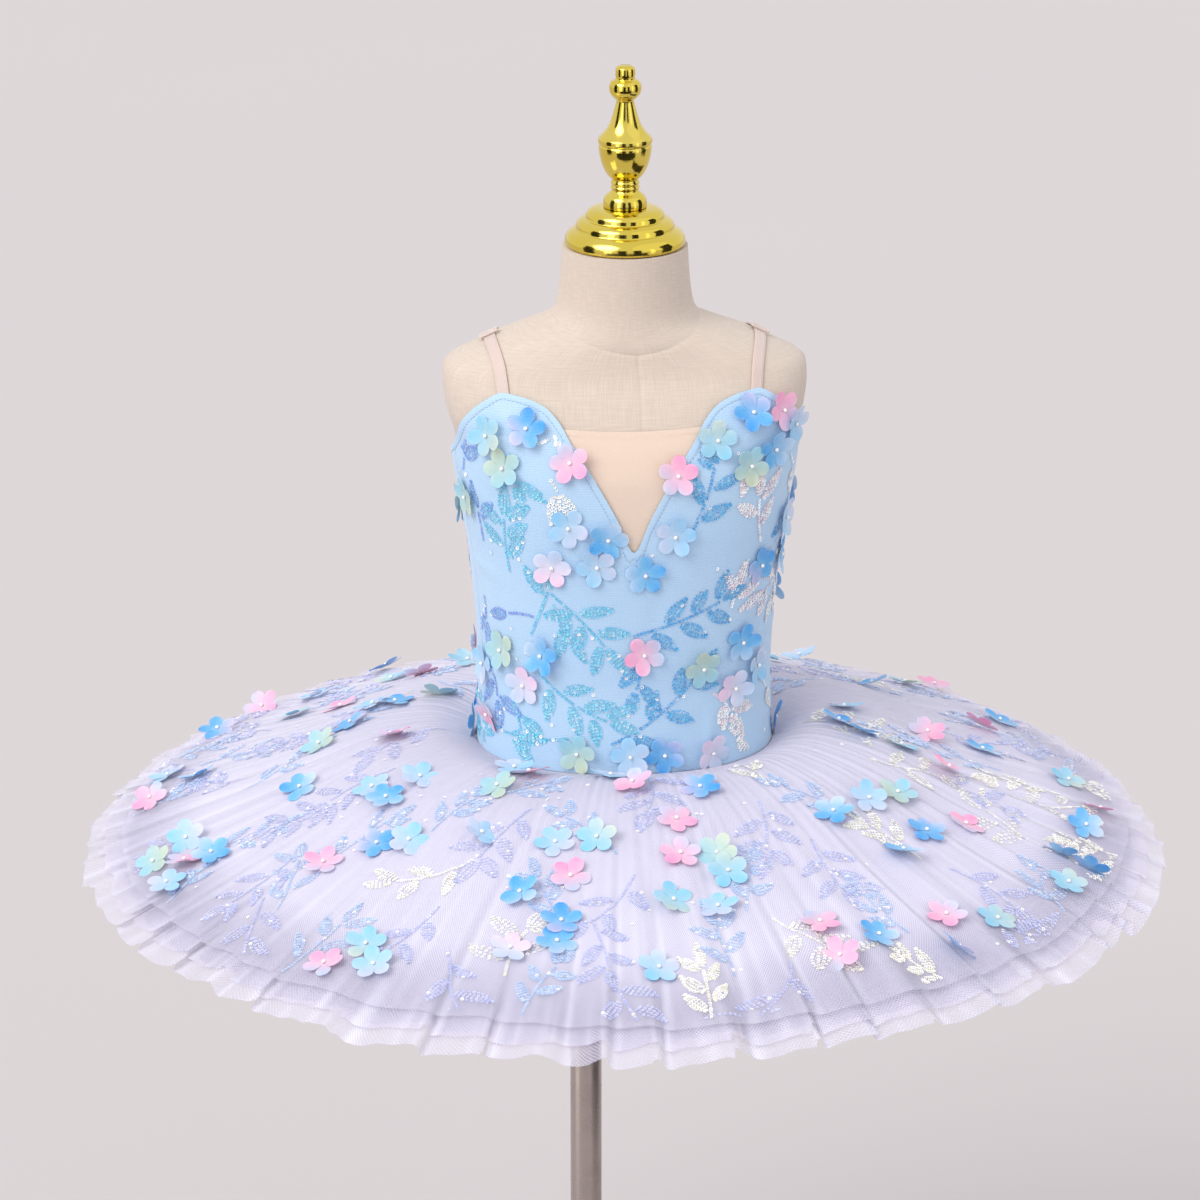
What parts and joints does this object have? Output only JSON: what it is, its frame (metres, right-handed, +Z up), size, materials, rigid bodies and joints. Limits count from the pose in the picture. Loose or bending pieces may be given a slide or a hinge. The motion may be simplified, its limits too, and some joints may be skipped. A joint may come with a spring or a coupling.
{
  "type": "tutu dress on dress form stand",
  "caption": "Child's light blue pancake tutu dress with organza flowers and a gathered net skirt, on a linen dress form with a brass finial and a floor stand.",
  "frame": {"origin": "on the floor under the middle of the skirt's outline, which is also the dress's own axis", "axes": "+Z up, -Y out of the dress's front, +X to the viewer's right"},
  "size_m": [0.723, 0.727, 1.173],
  "materials": {
    "linen": "plain-woven linen cover, matt",
    "blue_cloth": "light blue stretch cloth, matt, with raised organza flowers and sequins",
    "nude_cloth": "skin-coloured stretch net, matt",
    "overlay": "white net embroidered with pale iridescent sequin sprays and organza flowers",
    "tulle": "white tulle with a cool lavender tint, see-through",
    "elastic": "skin-coloured woven elastic, slight sheen",
    "slider_plastic": "skin-coloured moulded plastic",
    "brass": "bright yellow mirror finish",
    "steel": "grey drawn steel, satin"
  },
  "bodies": {
    "root": {"base_plate": "steel", "bodice_back": "blue_cloth", "bodice_front": "blue_cloth", "brief": "tulle", "finial": "brass", "form_torso": "linen", "gusset": "tulle", "neck_cap": "brass", "neck_insert": "nude_cloth", "pole": "steel", "pole_collar": "steel", "skirt_net_1": "tulle", "skirt_net_2": "tulle", "skirt_net_3": "tulle", "skirt_overlay": "overlay", "slider_left": "slider_plastic", "slider_right": "slider_plastic", "strap_left": "elastic", "strap_right": "elastic"}
  },
  "joints": []
}
